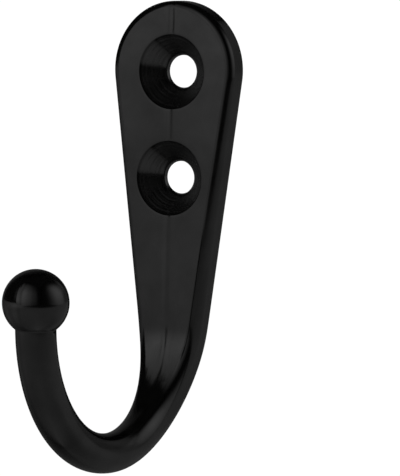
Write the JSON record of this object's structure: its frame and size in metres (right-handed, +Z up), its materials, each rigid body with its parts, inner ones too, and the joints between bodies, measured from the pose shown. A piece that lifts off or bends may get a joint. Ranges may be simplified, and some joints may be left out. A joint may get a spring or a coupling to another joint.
{
  "type": "coat hook",
  "caption": "Wall-mounted coat hook cast in one piece: a flat tapered plate with countersunk screw holes that runs down into a round J-shaped arm with a ball tip.",
  "frame": {"origin": "on the wall plane, midway between the axes of the two screw holes", "axes": "+Z up the plate, -Y out of the wall towards the room, +X to the right as seen from the room"},
  "size_m": [0.0172, 0.0373, 0.0574],
  "materials": {
    "black_coating": "gloss"
  },
  "bodies": {
    "root": {"hook": "black_coating"}
  },
  "joints": []
}
